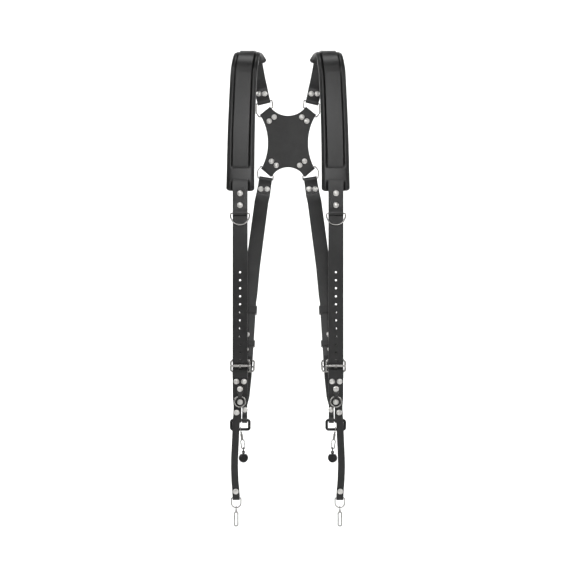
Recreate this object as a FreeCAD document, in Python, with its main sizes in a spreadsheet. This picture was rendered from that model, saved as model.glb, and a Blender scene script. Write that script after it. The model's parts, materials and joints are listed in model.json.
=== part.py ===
"""Dual shoulder harness of leather straps: back plate, two shoulder runs and two rear runs that meet at hip rings.

Units are millimetres. X is across the wearer, -Y is the wearer's front, +Z is up. The origin is where the
shoulders carry the pads. The left and right sides are mirror images, so most positions are given as
(out, y, z), where out is the distance from the middle plane towards that side.
"""
import FreeCAD, Part
import math
import os

from FreeCAD import Placement, Rotation, Vector

NODE_FOLDER = "parts"
SIDES = {"left": -1.0, "right": 1.0}

SIZES = {
    # leather
    "strap_width": 32.0, "strap_thick": 3.2, "tab_thick": 2.4, "chest_tab_thick": 2.2, "loop_thick": 1.8,
    "billet_thick": 3.0, "tether_width": 15.0, "tether_thick": 3.0, "pad_thick": 8.0, "pad_width": 62.0,
    "plate_thick": 3.2, "hole_pitch": 17.1, "hole_radius": 2.2, "hole_count": 12.0,
    # wire and bar radii
    "ring_wire": 1.6, "frame_wire": 2.0, "hip_wire": 3.0, "roller_radius": 3.2, "roller_bore": 2.08,
    "roller_length": 31.0, "tongue_wire": 1.3,
    # rings
    "o_ring_major": 11.5, "o_ring_minor": 1.4, "tether_ring_half": 10.2, "tether_ring_drop": 20.4,
    "tether_ring_minor": 1.3,
    "chest_ring_half": 20.1, "chest_ring_drop": 24.0, "hip_ring_half": 19.35, "hip_ring_drop": 19.6,
    # fasteners and the camera screw
    "rivet_cap": 6.0, "rivet_dome": 2.3, "rivet_shank": 2.0, "rivet_foot": 4.5, "rivet_foot_thick": 1.2,
    "screw_radius": 3.175, "screw_length": 6.0, "disc_radius": 10.0, "disc_thick": 5.0,
    # the shoulder arch and the depths of the runs
    "arch_radius": 60.0, "front_out": 102.0, "plate_y": 75.1, "ring_y": 78.5, "fit_gap": 0.2,
}

DOC = FreeCAD.newDocument("harness")
SHEET = DOC.addObject("Spreadsheet::Sheet", "Sizes")
for row, (alias, number) in enumerate(SIZES.items(), start=1):
    SHEET.set("A%d" % row, alias)
    SHEET.set("B%d" % row, str(number))
    SHEET.setAlias("B%d" % row, alias)
DOC.recompute()

SUB_PARTS = []


def size(alias):
    """A driving dimension, read from the sheet."""
    return float(SHEET.get(alias))


GAP = size("fit_gap")
STRAP = size("strap_thick")
TAB = size("tab_thick")
CHEST_TAB = size("chest_tab_thick")
LOOP = size("loop_thick")
BILLET = size("billet_thick")
TETHER = size("tether_thick")
PAD = size("pad_thick")
RING_WIRE = size("ring_wire")
FRAME_WIRE = size("frame_wire")
HIP_WIRE = size("hip_wire")
ARCH = size("arch_radius")
FRONT_OUT = size("front_out")
WIDE = size("strap_width")
RING_Y = size("ring_y")
PAD_GAP = 0.5
ARCH_Z = -(ARCH - STRAP / 2 - PAD_GAP - PAD)

# heights of the front run, from the chest to the hip
FRONT_Y = -ARCH
CHEST_RING_Z = -349.5
ROLLER_Z = -673.5
HEEL_DROP = 12.5
HEEL_Z = ROLLER_Z - HEEL_DROP
BAR_BACK = 2.6
ROLLER_FACE = 3.9
HEEL_Y = FRONT_Y + BAR_BACK
HIP_BAR_Z = -790.0
TETHER_RIVET_Z = -772.8
O_RING_TOP_Z = -738.0
TETHER_RING_TOP_Z = -954.7
TETHER_Y = FRONT_Y - 5.2


def unit(vector):
    """The vector at length one."""
    return vector * (1.0 / vector.Length)


def keep(node, thing):
    """List a document object as the sub-part called node."""
    thing.Label = node
    SUB_PARTS.append(thing)
    return thing


def solid_node(node, shape, placement=None):
    """A sub-part whose shape is worked out here; its placement is set after its shape."""
    feature = DOC.addObject("Part::Feature", node)
    feature.Shape = shape
    if placement is not None:
        feature.Placement = placement
    return keep(node, feature)


def bind(thing, **cells):
    """Bind properties of a document object to cells of the sheet."""
    for prop, cell in cells.items():
        thing.setExpression(prop, "Sizes." + cell)
    return thing


# ---------------------------------------------------------------- leather
def ribbon(stations, thick):
    """A strap through stations of (centre, across direction, width), of one thickness."""
    wires = []
    last = len(stations) - 1
    for index, (centre, across, width) in enumerate(stations):
        before = centre - stations[index - 1][0] if index else stations[1][0] - centre
        after = stations[index + 1][0] - centre if index < last else before
        before, after = unit(before), unit(after)
        along = unit(before + after)
        across = unit(across - along * across.dot(along))
        normal = along.cross(across)
        half_thick = thick / 2 / max(before.dot(along), 0.6)
        side, lift = across * (width / 2), normal * half_thick
        corners = [centre + side + lift, centre - side + lift, centre - side - lift, centre + side - lift]
        wires.append(Part.makePolygon(corners + corners[:1]))
    return Part.makeLoft(wires, True, True)


def turn(centre, toward, start_side, radius, steps=8):
    """Centres of a half turn around a wire, from start_side round the far side that toward points at."""
    points = []
    for step in range(steps + 1):
        angle = math.pi * step / steps
        points.append(centre + start_side * (radius * math.cos(angle)) + toward * (radius * math.sin(angle)))
    return points


def hole(shape, centre, direction, radius, reach):
    """Cut a round hole through shape, reach to each side of centre."""
    direction = unit(direction)
    return shape.cut(Part.makeCylinder(radius, 2 * reach, centre - direction * reach, direction))


class Side:
    """One side of the harness: turns (out, y, z) into a place on that side."""

    def __init__(self, name):
        self.name = name
        self.sign = SIDES[name]
        self.across = Vector(self.sign, 0, 0)

    def at(self, out, y, z):
        """A place on this side."""
        return Vector(self.sign * out, y, z)

    def node(self, base):
        """The node name of a piece on this side."""
        return base + "_" + self.name

    def strap(self, points, thick, widths=None, across=None):
        """A ribbon through (out, y, z) points; widths is one number or one for each point."""
        widths = widths if isinstance(widths, list) else [widths or WIDE] * len(points)
        across = across or self.across
        return ribbon([(self.at(*p), across, w) for p, w in zip(points, widths)], thick)


class Frame:
    """A local frame at a buckle: across, out of the strap's face (w) and from the roller to the heel (u)."""

    def __init__(self, origin, across, face, up):
        self.origin, self.across, self.face, self.up = origin, across, face, up

    def at(self, across, face, up):
        """A place in this frame."""
        return self.origin + self.across * across + self.face * face + self.up * up

    def placement(self):
        """The placement of a piece modelled with X across, Y out of the face and Z towards the heel."""
        return Placement(self.origin, Rotation(self.across, self.face, self.up, "ZXY"))


def front_frame(side):
    """The frame of a front buckle."""
    return Frame(side.at(FRONT_OUT, FRONT_Y, ROLLER_Z), Vector(1, 0, 0), Vector(0, -1, 0), Vector(0, 0, -1))


REAR_ROLLER = (93.7, -19.5, -678.0)
REAR_UP = (-0.05, 0.2644, 0.9631)


def rear_frame(side):
    """The frame of a rear buckle; its face looks to the wearer's back."""
    up = unit(side.at(*REAR_UP))
    across = Vector(1, 0, 0)
    across = unit(across - up * across.dot(up))
    return Frame(side.at(*REAR_ROLLER), across, up.cross(across), up)


# ---------------------------------------------------------------- wire
def rounded_path(corners, radii, closed=True):
    """A wire of straight runs through corners with a tangent arc at each one."""
    count = len(corners)
    pieces, ends = [], []
    for index, (corner, radius) in enumerate(zip(corners, radii)):
        if not closed and index in (0, count - 1):
            ends.append((corner, corner, None))
            continue
        back = unit(corners[index - 1] - corner)
        ahead = unit(corners[(index + 1) % count] - corner)
        half = math.acos(max(-1.0, min(1.0, back.dot(ahead)))) / 2
        reach = radius / math.tan(half)
        middle = corner + unit(back + ahead) * (radius / math.sin(half) - radius)
        ends.append((corner + back * reach, corner + ahead * reach, middle))
    for index, (start, finish, middle) in enumerate(ends):
        if middle is not None:
            pieces.append(Part.Arc(start, middle, finish).toShape())
        if closed or index < count - 1:
            pieces.append(Part.LineSegment(finish, ends[(index + 1) % count][0]).toShape())
    return Part.Wire(pieces)


def bent_wire(corners, radii, wire_radius, closed=True):
    """A round wire bent along a rounded path."""
    path = rounded_path(corners, radii, closed)
    first = path.Edges[1] if closed else path.Edges[0]
    start = first.valueAt(first.FirstParameter)
    direction = first.tangentAt(first.FirstParameter)
    if closed:
        path = Part.Wire(path.Edges[1:] + path.Edges[:1])
    circle = Part.Wire([Part.Circle(start, direction, wire_radius).toShape()])
    return path.makePipeShell([circle], True, False)


def flat(corners, y):
    """Corner vectors of a plan given as (x, z) pairs at one depth."""
    return [Vector(x, y, z) for x, z in corners]


def torus(node, centre, axis, major, minor):
    """A ring whose two radii are bound to cells."""
    ring = DOC.addObject("Part::Torus", node)
    bind(ring, Radius1=major, Radius2=minor)
    ring.Placement = Placement(centre, Rotation(Vector(0, 0, 1), axis))
    return keep(node, ring)


# ---------------------------------------------------------------- fasteners
def rivet_cap():
    """The domed cap of a rivet, seated at the origin and looking along +Z."""
    cap, dome, rim = size("rivet_cap"), size("rivet_dome"), 0.5
    rise = dome - rim
    ball = (cap * cap + rise * rise) / (2 * rise)
    barrel = Part.makeCylinder(cap, dome, Vector(0, 0, rim))
    crown = Part.makeSphere(ball, Vector(0, 0, dome - ball)).common(barrel)
    return crown.fuse(Part.makeCylinder(cap, rim))


CAP = rivet_cap()


def rivet(face, direction, grip):
    """A domed rivet: its cap sits on face, looking along direction, and its foot closes grip below."""
    foot, foot_thick, seat = size("rivet_foot"), size("rivet_foot_thick"), 0.03
    cap = CAP.copy()
    cap.translate(Vector(0, 0, seat))
    shank = Part.makeCylinder(size("rivet_shank"), grip + 2 * seat, Vector(0, 0, -grip - seat))
    body = cap.fuse([shank, Part.makeCylinder(foot, foot_thick, Vector(0, 0, -grip - seat - foot_thick))])
    body = body.removeSplitter()
    body.Placement = Placement(face, Rotation(Vector(0, 0, 1), direction))
    return body


FRONT = Vector(0, -1, 0)
RIVETS = []


def fasten(leathers, face, direction, grip, own_group=None):
    """Put a rivet through every leather shape in the dict leathers, which get a hole for its shank."""
    clearance = 0.06
    for key in leathers:
        middle = face - direction * (grip / 2)
        leathers[key] = hole(leathers[key], middle, direction, size("rivet_shank") + clearance, grip / 2 + 3)
    group = RIVETS if own_group is None else own_group
    group.append(rivet(face, direction, grip))


# ---------------------------------------------------------------- back plate and its rings
UPPER_WIRE = (55.2, RING_Y, -83.2)
LOWER_WIRE = (51.2, RING_Y, -259.3)
UPPER_ARM = (50.0, RING_Y, -107.0)
LOWER_ARM = (47.0, RING_Y, -241.2)
UPPER_IN = (-0.627, 0.0, -0.78)
LOWER_IN = (-0.645, 0.0, 0.764)
ARM_HALF = 15.0
FOLD = RING_WIRE + GAP + STRAP / 2


def plate_outline():
    """The X-shaped plate, with a hollow arc along each side and a straight end on each arm."""
    upper_out, upper_in = Vector(61.7, 0, -116.4), Vector(38.3, 0, -97.6)
    lower_out, lower_in = Vector(58.5, 0, -231.5), Vector(35.5, 0, -250.9)

    def mirrored(point):
        return Vector(-point.x, point.y, point.z)

    def arc(start, middle, finish):
        return Part.Arc(start, middle, finish).toShape()

    def line(start, finish):
        return Part.LineSegment(start, finish).toShape()

    edges = [arc(mirrored(upper_in), Vector(0, 0, -115.2), upper_in), line(upper_in, upper_out),
             arc(upper_out, Vector(46.1, 0, -170.4), lower_out), line(lower_out, lower_in),
             arc(lower_in, Vector(0, 0, -232.7), mirrored(lower_in)), line(mirrored(lower_in), mirrored(lower_out)),
             arc(mirrored(lower_out), Vector(-46.1, 0, -170.4), mirrored(upper_out)),
             line(mirrored(upper_out), mirrored(upper_in))]
    return Part.Face(Part.Wire(edges))


def arm_fold(side, wire, inward):
    """The end of a plate arm: round the ring's wire and back down behind the plate."""
    centre, inward = side.at(*wire), unit(side.at(*inward))
    across = inward.cross(Vector(0, 1, 0))
    front, back = Vector(0, -1, 0), Vector(0, 1, 0)
    overlap, settle, end = 2.0, 11.0, 31.0
    points = [centre + front * FOLD + inward * overlap] + turn(centre, inward * -1, front, FOLD)
    for reach, depth in ((4.0, FOLD - 0.1), (settle, 0.0), (end, 0.0)):
        closed_y = size("plate_y") + STRAP + 0.05
        y = centre.y + depth if depth else closed_y
        points.append(Vector(centre.x, y, centre.z) + inward * reach)
    return ribbon([(p, across, 2 * ARM_HALF) for p in points], STRAP), across, inward


def build_plate():
    """The back plate with four folded arms, and the rings that the arms hold."""
    plate = plate_outline().extrude(Vector(0, STRAP, 0))
    plate.translate(Vector(0, size("plate_y") - STRAP / 2, 0))
    seats = []
    for name in SIDES:
        side = Side(name)
        for wire, inward, reach in ((UPPER_ARM, UPPER_IN, 20.5), (LOWER_ARM, LOWER_IN, 23.0)):
            fold, across, inward_unit = arm_fold(side, wire, inward)
            plate = plate.fuse(fold)
            seats.append((side.at(*wire) + inward_unit * reach, across))
    leathers = {"plate": plate.removeSplitter()}
    rivet_half_pitch = 7.3
    for seat, across in seats:
        for step in (-rivet_half_pitch, rivet_half_pitch):
            place = seat + across * step
            face = Vector(place.x, size("plate_y") - STRAP / 2, place.z)
            fasten(leathers, face, FRONT, 2 * STRAP + 0.05)
    solid_node("back_plate", leathers["plate"])
    for height, plan in (("upper", UPPER_RING), ("lower", LOWER_RING)):
        rings = []
        for name in SIDES:
            sign = SIDES[name]
            corners = flat([(sign * x, z) for x, z in plan], RING_Y)
            rings.append(bent_wire(corners, [2.3, 2.3, 2.3, 4.0, 9.0], RING_WIRE))
        solid_node(height + "_plate_rings", Part.makeCompound(rings))


UPPER_RING = [(71.9, -87.3), (36.6, -78.6), (34.6, -94.6), (64.8, -118.9), (72.5, -108.0)]
LOWER_RING = [(68.6, -256.55), (34.6, -261.9), (33.6, -252.5), (61.4, -229.0), (70.0, -240.0)]


# ---------------------------------------------------------------- shoulder straps, pads and chest tabs
def arch(radius, degrees, out):
    """A place on the shoulder arch; 180 degrees is the front and 90 the top."""
    angle = math.radians(degrees)
    return (out, radius * math.cos(angle), ARCH_Z + radius * math.sin(angle))


ARCH_OUT = [(180, 94.5), (165, 92.8), (150, 91.2), (135, 89.6), (120, 88.2), (105, 86.8), (90, 84.8), (75, 81.8),
            (60, 77.6), (45, 72.4)]
PAD_RADIUS = ARCH - STRAP / 2 - PAD_GAP - PAD / 2
TUNNEL_Y = FRONT_Y + 5.6


def strap_dip():
    """The stretch of the strap that passes under the pad's bridge."""
    return [(101.6, FRONT_Y, -246.0), (101.7, TUNNEL_Y, -257.0), (101.9, TUNNEL_Y, -272.5), (102.0, FRONT_Y, -283.5)]


def ring_end(side, wire, away, tail):
    """A strap's end, from the tip of its folded layer round the ring's wire to the main layer behind."""
    centre, away = side.at(*wire), unit(side.at(*away))
    front_y, back_y = RING_Y - STRAP / 2 - 0.02, RING_Y + STRAP / 2 + 0.02
    points = []
    for reach, y in ((tail, front_y), (11.0, front_y), (4.0, RING_Y - FOLD + 0.1)):
        points.append(Vector(centre.x, y, centre.z) + away * reach)
    points += turn(centre, away * -1, Vector(0, -1, 0), FOLD)
    for reach, y in ((4.0, RING_Y + FOLD - 0.1), (11.0, back_y), (tail + 2.0, back_y)):
        points.append(Vector(centre.x, y, centre.z) + away * reach)
    across = away.cross(Vector(0, 1, 0))
    if across.x * side.sign < 0:
        across = across * -1
    widths = [2 * ARM_HALF] * (len(points) - 1) + [WIDE]
    return [(p, across, w) for p, w in zip(points, widths)], away


def build_shoulder(side):
    """A shoulder strap, the pad under it and the chest tab on it."""
    stations, away = ring_end(side, UPPER_WIRE, (0.239, 0.0, 0.971), 29.0)
    over = [(65.2, 75.0, -42.5), (67.8, 66.0, -31.0), (70.2, 54.6, -19.6)]
    over += [arch(ARCH, degrees, out) for degrees, out in reversed(ARCH_OUT)]
    over += [(96.3, FRONT_Y, -80.0), (98.6, FRONT_Y, -135.0), (100.4, FRONT_Y, -193.0)]
    over += strap_dip()
    over += [(FRONT_OUT, FRONT_Y, -300.0), (FRONT_OUT, FRONT_Y, -470.0), (FRONT_OUT, FRONT_Y, -645.0)]
    weave = [(-1.2, -12.5), (1.7, -1.5), (0.7, 3.0), (-4.3, 9.5), (-4.6, 14.0), (-3.6, 20.0), (-2.6, 26.0)]
    over += [(FRONT_OUT, FRONT_Y + y, ROLLER_Z - drop) for y, drop in weave]
    stations += [(side.at(*p), side.across, WIDE) for p in over]
    strap = ribbon(stations, STRAP)
    first_hole_z = -474.3
    for index in range(int(size("hole_count"))):
        place = side.at(FRONT_OUT, FRONT_Y, first_hole_z - index * size("hole_pitch"))
        strap = hole(strap, place, FRONT, size("hole_radius"), 6.0)
    tongue_hole = side.at(FRONT_OUT, FRONT_Y - 2.7, ROLLER_Z - 7.4)
    strap = hole(strap, tongue_hole, Vector(0, -0.73, 0.68), 3.0, 6.0)

    pad_points = [(102.0, -PAD_RADIUS, -301.4), (101.0, -PAD_RADIUS, -230.0), (99.4, -PAD_RADIUS, -160.0),
                  (96.8, -PAD_RADIUS, -95.0)]
    pad_points += [arch(PAD_RADIUS, degrees, out) for degrees, out in ARCH_OUT]
    pad_widths = [size("pad_width")] * 2 + [61.0, 60.0] + [59.0] * 3 + [58.0] * 3 + [57.0] * 4
    pad = side.strap(pad_points, PAD, pad_widths)
    tunnel = [(101.6, FRONT_Y - 2.0, -242.0)] + strap_dip() + [(102.0, FRONT_Y - 2.0, -287.5)]
    pad = pad.cut(side.strap(tunnel, STRAP + 0.8, WIDE + 1.0))
    solid_node(side.node("shoulder_pad"), pad)

    strap_face = FRONT_Y - STRAP / 2
    back_y = strap_face - 0.05 - CHEST_TAB / 2
    front_y = back_y - CHEST_TAB - 0.05
    fold = RING_WIRE + GAP + CHEST_TAB / 2
    wire_y = back_y - fold
    wire = side.at(FRONT_OUT, wire_y, CHEST_RING_Z)
    tab = [(-294.0, 19.0), (-301.0, 22.0), (-318.0, 20.0), (-329.0, 23.5), (-338.6, 29.0), (-345.6, 31.0)]
    points = [(side.at(FRONT_OUT, back_y, z), side.across, w) for z, w in tab]
    points += [(p, side.across, 31.0) for p in turn(wire, Vector(0, 0, -1), Vector(0, 1, 0), fold)]
    for z, w in reversed(tab):
        y = wire_y - fold + 0.2 if z < -340.0 else front_y
        points.append((side.at(FRONT_OUT, y, z), side.across, w))
    leathers = {"strap": strap, "tab": ribbon(points, CHEST_TAB)}
    grip = abs(front_y - CHEST_TAB / 2 - (FRONT_Y + STRAP / 2))
    for z in (-306.9, -332.0):
        fasten(leathers, side.at(FRONT_OUT, front_y - CHEST_TAB / 2, z), FRONT, grip)
    upper = {"strap": leathers["strap"]}
    for step in (-6.8, 6.8):
        seat = side.at(*UPPER_WIRE) + away * 19.0 + Vector(step, 0, 0)
        fasten(upper, Vector(seat.x, RING_Y - STRAP - 0.02, seat.z), FRONT, 2 * STRAP + 0.04)
    solid_node(side.node("shoulder_strap"), upper["strap"])
    solid_node(side.node("chest_tab"), leathers["tab"])
    half, drop = size("chest_ring_half"), size("chest_ring_drop")
    centre_x = side.sign * FRONT_OUT
    corners = [(centre_x - half, CHEST_RING_Z), (centre_x + half, CHEST_RING_Z),
               (centre_x + half, CHEST_RING_Z - drop), (centre_x - half, CHEST_RING_Z - drop)]
    ring = bent_wire(flat(corners, wire_y), [2.5, 2.5, half - 0.1, half - 0.1], RING_WIRE)
    solid_node(side.node("chest_ring"), ring)


# ---------------------------------------------------------------- buckles
def buckle(node_base, side, frame):
    """A roller buckle: a bent frame with a raised bar, the roller on that bar and the tongue on the heel bar."""
    half, end = 20.0, HEEL_DROP
    back = -BAR_BACK
    corners = [Vector(-half, back, -end), Vector(half, back, -end), Vector(half, back, end), Vector(-half, back, end)]
    body = bent_wire(corners, [6.5, 6.5, 3.4, 3.4], FRAME_WIRE)
    raised = [Vector(-half, back, 0), Vector(-half + 2.4, ROLLER_FACE, 0), Vector(half - 2.4, ROLLER_FACE, 0),
              Vector(half, back, 0)]
    body = body.fuse(bent_wire(raised, [0, 2.6, 2.6, 0], FRAME_WIRE, closed=False)).removeSplitter()
    solid_node(side.node(node_base + "_frame"), body, frame.placement())

    outer = bind(DOC.addObject("Part::Cylinder", node_base + "_outer"), Radius="roller_radius", Height="roller_length")
    bore = bind(DOC.addObject("Part::Cylinder", node_base + "_bore"), Radius="roller_bore")
    bore.Height = size("roller_length") + 2
    bore.Placement = Placement(Vector(0, 0, -1), Rotation())
    tube = DOC.addObject("Part::Cut", side.node(node_base + "_roller"))
    tube.Base, tube.Tool = outer, bore
    lengthwise = Rotation(Vector(0, 0, 1), frame.across)
    tube.Placement = Placement(frame.at(-size("roller_length") / 2, ROLLER_FACE, 0), lengthwise)
    keep(side.node(node_base + "_roller"), tube)

    wire = size("tongue_wire")
    eye = Part.makeTorus(FRAME_WIRE + 0.08 + wire, wire, Vector(0, back, end), Vector(1, 0, 0))
    root = Vector(0, back + 2.4, end - 2.4)
    over = Vector(0, ROLLER_FACE + size("roller_radius") + wire + 0.5, 1.6)
    tip = Vector(0, over.y - 0.2, -3.4)
    shank = bent_wire([root, over, tip], [0, 3.0, 0], wire, closed=False)
    tongue = eye.fuse(shank)
    tongue = tongue.cut(Part.makeCylinder(FRAME_WIRE + 0.08, 10, Vector(-5, back, end), Vector(1, 0, 0)))
    solid_node(side.node(node_base + "_tongue"), tongue.removeSplitter(), frame.placement())


# ---------------------------------------------------------------- hip tab, ring loop and O-ring
def build_hip(side):
    """The folded hip tab with the small loop that holds the O-ring, the hip ring and the tether."""
    front_y, back_y = HEEL_Y - TAB / 2 - 0.03, HEEL_Y + TAB / 2 + 0.03
    top_turn, low_turn = FRAME_WIRE + GAP + TAB / 2, HIP_WIRE + GAP + TAB / 2
    narrow, narrow_out = 17.0, 107.9
    front = [(FRONT_OUT, front_y, -700.0), (FRONT_OUT, front_y, -742.0), (narrow_out, front_y, -760.0),
             (narrow_out, front_y, -781.0)]
    front_widths = [WIDE, WIDE, narrow, narrow]
    path = [((FRONT_OUT, back_y, -735.0), WIDE), ((FRONT_OUT, back_y, -700.0), WIDE)]
    path += [((FRONT_OUT, HEEL_Y + top_turn - 0.2, HEEL_Z - 4.0), WIDE)]
    stations = [(side.at(*p), side.across, w) for p, w in path]
    heel = side.at(FRONT_OUT, HEEL_Y, HEEL_Z)
    stations += [(p, side.across, WIDE) for p in turn(heel, Vector(0, 0, 1), Vector(0, 1, 0), top_turn)]
    stations += [(side.at(FRONT_OUT, HEEL_Y - top_turn + 0.2, HEEL_Z - 4.0), side.across, WIDE)]
    stations += [(side.at(*p), side.across, w) for p, w in zip(front, front_widths)]
    bar = side.at(narrow_out, HEEL_Y, HIP_BAR_Z)
    stations += [(side.at(narrow_out, HEEL_Y - low_turn + 0.2, HIP_BAR_Z + 3.5), side.across, narrow)]
    stations += [(p, side.across, narrow) for p in turn(bar, Vector(0, 0, -1), Vector(0, -1, 0), low_turn)]
    stations += [(side.at(narrow_out, HEEL_Y + low_turn - 0.2, HIP_BAR_Z + 3.5), side.across, narrow)]
    for (out, _, z), w in reversed(list(zip(front[2:], front_widths[2:]))):
        stations.append((side.at(out, back_y, z), side.across, w))
    stations.append((side.at(FRONT_OUT, back_y, -742.0), side.across, WIDE))
    tab = ribbon(stations, TAB)
    slot = Part.makeBox(6.0, 14.0, 12.0, side.at(FRONT_OUT, HEEL_Y - 7.0, HEEL_Z - 5.0) - Vector(3.0, 0, 0))
    tab = tab.cut(slot)

    face = front_y - TAB / 2
    ring_slack, fold_width = 0.9, 8.0
    loop_back, fold = face - 0.05 - LOOP / 2, size("o_ring_minor") + ring_slack + LOOP / 2
    loop_front = loop_back - LOOP - 0.05
    wire_y = loop_back - fold
    wire = side.at(FRONT_OUT, wire_y, O_RING_TOP_Z)
    loop_path = [(side.at(FRONT_OUT, loop_back, z), side.across, w) for z, w in ((-716.0, 13.0), (-729.4, 13.0))]
    loop_path.append((side.at(FRONT_OUT, loop_back, O_RING_TOP_Z + 3.0), side.across, fold_width))
    loop_path += [(p, side.across, fold_width) for p in turn(wire, Vector(0, 0, -1), Vector(0, 1, 0), fold)]
    loop_path.append((side.at(FRONT_OUT, wire_y - fold + 0.4, O_RING_TOP_Z + 4.0), side.across, fold_width))
    loop_path += [(side.at(FRONT_OUT, loop_front, z), side.across, 13.0) for z in (-729.4, -716.0)]
    leathers = {"tab": tab, "loop": ribbon(loop_path, LOOP)}
    loop_face = loop_front - LOOP / 2
    tab_grip = 2 * TAB + 0.06
    fasten(leathers, side.at(FRONT_OUT, loop_face, -722.8), FRONT, tab_grip + face - loop_face)
    tab_only = {"tab": leathers["tab"]}
    for out, z in ((FRONT_OUT - 8.0, -707.2), (FRONT_OUT + 8.0, -707.2), (FRONT_OUT, -751.0)):
        fasten(tab_only, side.at(out, face, z), FRONT, tab_grip)
    solid_node(side.node("ring_loop"), leathers["loop"])
    drop = size("o_ring_major")
    torus(side.node("o_ring"), side.at(FRONT_OUT, wire_y, O_RING_TOP_Z - drop), FRONT, "o_ring_major", "o_ring_minor")

    build_tether(side, tab_only, face)
    solid_node(side.node("hip_tab"), tab_only["tab"])
    half, ring_drop = size("hip_ring_half"), size("hip_ring_drop")
    centre_x = side.sign * (FRONT_OUT - 0.2)
    corners = [(centre_x - half, HIP_BAR_Z), (centre_x + half, HIP_BAR_Z),
               (centre_x + half, HIP_BAR_Z - ring_drop), (centre_x - half, HIP_BAR_Z - ring_drop)]
    solid_node(side.node("hip_ring"), bent_wire(flat(corners, HEEL_Y), [4.0] * 4, HIP_WIRE))


def build_tether(side, tab_only, tab_face):
    """The leather tether riveted on the hip tab, the ring in its lower fold and the rivet above that ring."""
    swing_gap = 0.6
    top_y = tab_face - swing_gap - TETHER / 2
    fold = size("tether_ring_minor") + GAP + TETHER / 2
    wire_y = TETHER_Y + fold
    end_out = 110.3
    front = [(109.0, top_y, -779.0), (109.6, TETHER_Y, -785.0), (110.6, TETHER_Y, -812.0),
             (112.3, TETHER_Y, -842.0), (113.4, TETHER_Y, -870.0), (113.6, TETHER_Y, -892.0),
             (112.6, TETHER_Y, -917.0), (110.8, TETHER_Y, -940.0), (end_out, TETHER_Y, -951.0)]
    back_y = TETHER_Y + TETHER + 0.06
    ring_top = side.at(end_out, wire_y, TETHER_RING_TOP_Z)
    width = size("tether_width")
    stations = [(side.at(109.0, top_y, z), side.across, w) for z, w in ((-766.3, 8.0), (-768.3, 13.0), (-771.0, width))]
    stations += [(side.at(*p), side.across, width) for p in front]
    stations += [(p, side.across, width) for p in turn(ring_top, Vector(0, 0, -1), Vector(0, -1, 0), fold)]
    stations += [(side.at(end_out, wire_y + fold - 0.4, -950.5), side.across, width),
                 (side.at(110.5, back_y, -946.0), side.across, width),
                 (side.at(111.4, back_y, -933.0), side.across, width)]
    leathers = {"tether": ribbon(stations, TETHER)}
    own = []
    fasten(leathers, side.at(110.9, TETHER_Y - TETHER / 2, -940.0), FRONT, 2 * TETHER + 0.2, own)
    both = {"tether": leathers["tether"], "tab": tab_only["tab"]}
    pivot_face = side.at(109.0, top_y - TETHER / 2 - 0.1, TETHER_RIVET_Z)
    fasten(both, pivot_face, FRONT, abs(pivot_face.y - (HEEL_Y + TAB + 0.03)))
    tab_only["tab"] = both["tab"]
    solid_node(side.node("tether"), both["tether"])
    solid_node(side.node("tether_rivet"), own[0])
    half, drop = size("tether_ring_half"), size("tether_ring_drop")
    ring_x = side.sign * end_out
    corners = [(ring_x - half, ring_top.z), (ring_x + half, ring_top.z),
               (ring_x + half, ring_top.z - drop), (ring_x - half, ring_top.z - drop)]
    bow = half - 0.1
    ring = bent_wire(flat(corners, wire_y), [2.0, 2.0, bow, bow], size("tether_ring_minor"))
    solid_node(side.node("tether_ring"), ring)
    build_snap(side, ring_top - Vector(0, 0, drop))


# ---------------------------------------------------------------- hooks
def hook_loop(half, length, wire, mouth):
    """An open hook of wire in the XZ plane hanging from the origin, and the gate that closes its side."""
    bend = half * 0.8
    corners = [Vector(half, 0, -bend - 2.5), Vector(half, 0, 0), Vector(-half, 0, 0), Vector(-half, 0, -length),
               Vector(half, 0, -length), Vector(half, 0, -length + mouth)]
    body = bent_wire(corners, [0, bend, bend, bend, bend, 0], wire, closed=False)
    top, low = -bend - 3.2, -length + mouth + 0.4
    gate = Part.makeCylinder(wire * 0.85, top - low, Vector(half, 0, low), Vector(0, 0, 1))
    pad = Part.makeSphere(wire * 0.85, Vector(half, 0, top - wire * 0.85))
    return body, gate.fuse(pad).removeSplitter()


def build_snap(side, hang):
    """The small snap hook that hangs on the tether ring, and its gate."""
    eye_minor = 1.0
    eye_major = size("tether_ring_minor") + eye_minor + 0.45
    eye = Part.makeTorus(eye_major, eye_minor, hang, Vector(1, 0, 0))
    neck_top = -eye_major - 0.4
    neck = Part.makeCylinder(1.7, 5.0, hang + Vector(0, 0, neck_top - 5.0), Vector(0, 0, 1))
    collar = Part.makeCylinder(2.6, 2.6, hang + Vector(0, 0, neck_top - 6.0), Vector(0, 0, 1))
    body, gate = hook_loop(3.6, 29.0, 1.4, 7.0)
    drop = hang + Vector(0, 0, neck_top - 6.8)
    for piece in (body, gate):
        if side.sign > 0:
            piece.rotate(Vector(0, 0, 0), Vector(0, 0, 1), 180)
        piece.translate(drop)
    solid_node(side.node("snap_hook"), eye.fuse([neck, collar, body]).removeSplitter())
    solid_node(side.node("snap_gate"), gate)


CLIP_LEAN = 8.0


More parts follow.
